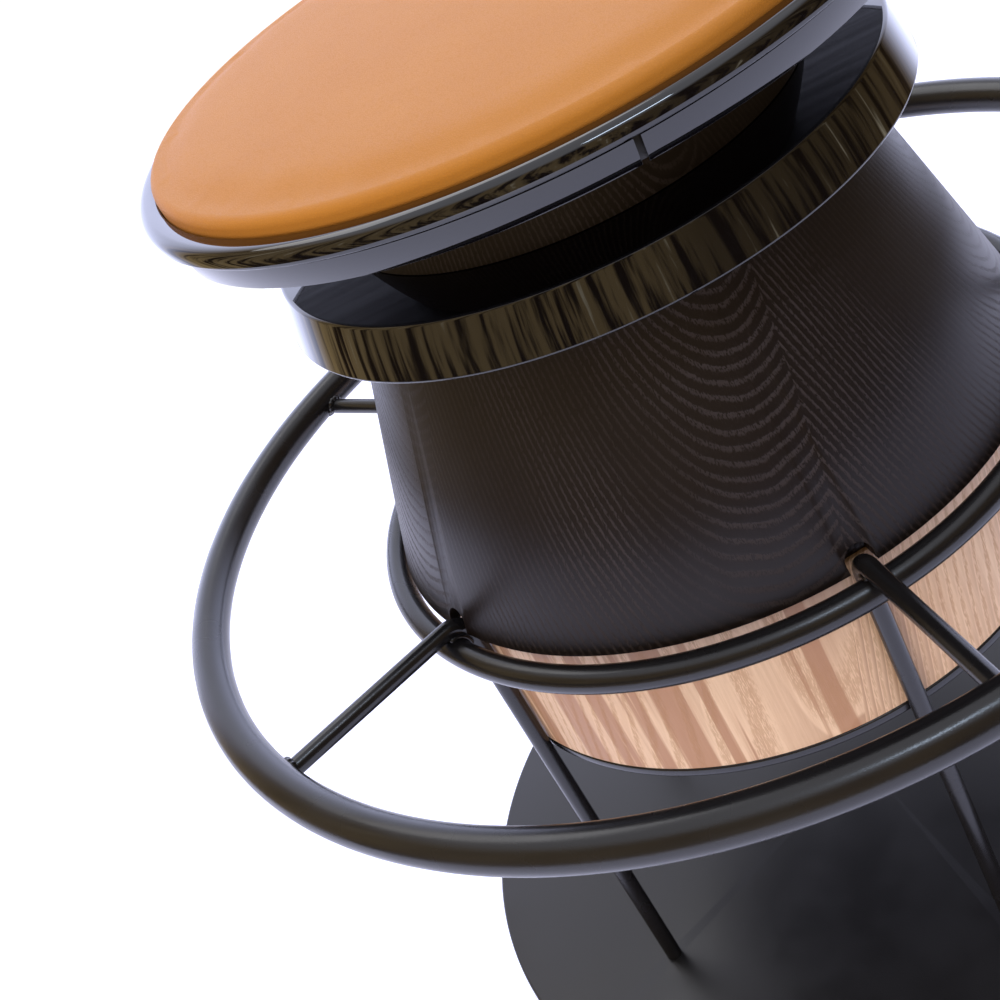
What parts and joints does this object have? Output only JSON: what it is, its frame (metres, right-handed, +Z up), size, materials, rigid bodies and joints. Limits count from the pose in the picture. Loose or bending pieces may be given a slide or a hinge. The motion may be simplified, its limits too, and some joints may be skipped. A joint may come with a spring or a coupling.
{
  "type": "low swivel stool",
  "caption": "Low round swivel stool: leather seat on a conical timber body with a gloss collar, carried by a welded rod frame with a foot ring over a round steel base.",
  "frame": {"origin": "on the floor under the stool's axis, at the middle of the foot ring's outline", "axes": "+Z up along the seat's swivel axis; the slit in the edge band faces -Y"},
  "size_m": [0.5168, 0.5168, 0.4725],
  "materials": {
    "black_steel": "satin black powder coat on steel",
    "zinc_steel": "bright zinc plate",
    "black_lacquer": "high-gloss black lacquer on turned timber",
    "dark_ash": "black-brown stained ash, satin, open grain",
    "pale_ash": "natural ash, matt oil",
    "plywood": "birch plywood, raw",
    "black_stain": "birch plywood stained black",
    "felt": "dense black wool felt",
    "foam": "upholstery foam",
    "tan_leather": "natural vegetable-tanned leather, fine grain"
  },
  "bodies": {
    "stand": {"glide_ring": "felt", "base_plate": "black_steel", "leg_screw_1": "zinc_steel", "leg_screw_2": "zinc_steel", "leg_screw_3": "zinc_steel", "leg_screw_4": "zinc_steel", "leg_screw_5": "zinc_steel", "rod_1": "black_steel", "rod_2": "black_steel", "rod_3": "black_steel", "rod_4": "black_steel", "rod_5": "black_steel", "inner_ring": "black_steel", "foot_ring": "black_steel", "body_tray": "black_steel", "pale_band": "pale_ash", "dark_cone": "dark_ash", "collar": "black_lacquer", "neck_cone": "dark_ash", "lower_washer": "zinc_steel", "lower_nut": "zinc_steel", "upper_washer": "zinc_steel", "upper_nut": "zinc_steel", "tie_rod": "zinc_steel", "seat_bed": "black_stain", "edge_band": "black_lacquer", "lower_swivel_plate": "zinc_steel", "swivel_eyelet": "zinc_steel", "bed_screw_1": "zinc_steel", "bed_screw_2": "zinc_steel", "bed_screw_3": "zinc_steel", "bed_screw_4": "zinc_steel"},
    "bearing": {"ball_cage": "zinc_steel", "ball_1": "zinc_steel", "ball_2": "zinc_steel", "ball_3": "zinc_steel", "ball_4": "zinc_steel", "ball_5": "zinc_steel", "ball_6": "zinc_steel", "ball_7": "zinc_steel", "ball_8": "zinc_steel"},
    "seat": {"upper_swivel_plate": "zinc_steel", "board_screw_1": "zinc_steel", "board_screw_2": "zinc_steel", "board_screw_3": "zinc_steel", "board_screw_4": "zinc_steel", "seat_board": "plywood", "seat_rim": "black_lacquer", "seat_foam": "foam", "seat_leather": "tan_leather"}
  },
  "joints": [
    {"name": "seat_swivel", "type": "hinge", "parent": "stand", "child": "seat", "pos_m": [0, 0, 0.4531], "axis": [0, 0, 1], "continuous": true},
    {"name": "cage_turn", "type": "hinge", "parent": "stand", "child": "bearing", "pos_m": [0, 0, 0.4531], "axis": [0, 0, 1], "continuous": true}
  ],
  "couplings": [
    {"joint": "cage_turn", "follows": "seat_swivel", "ratio": 0.5}
  ]
}
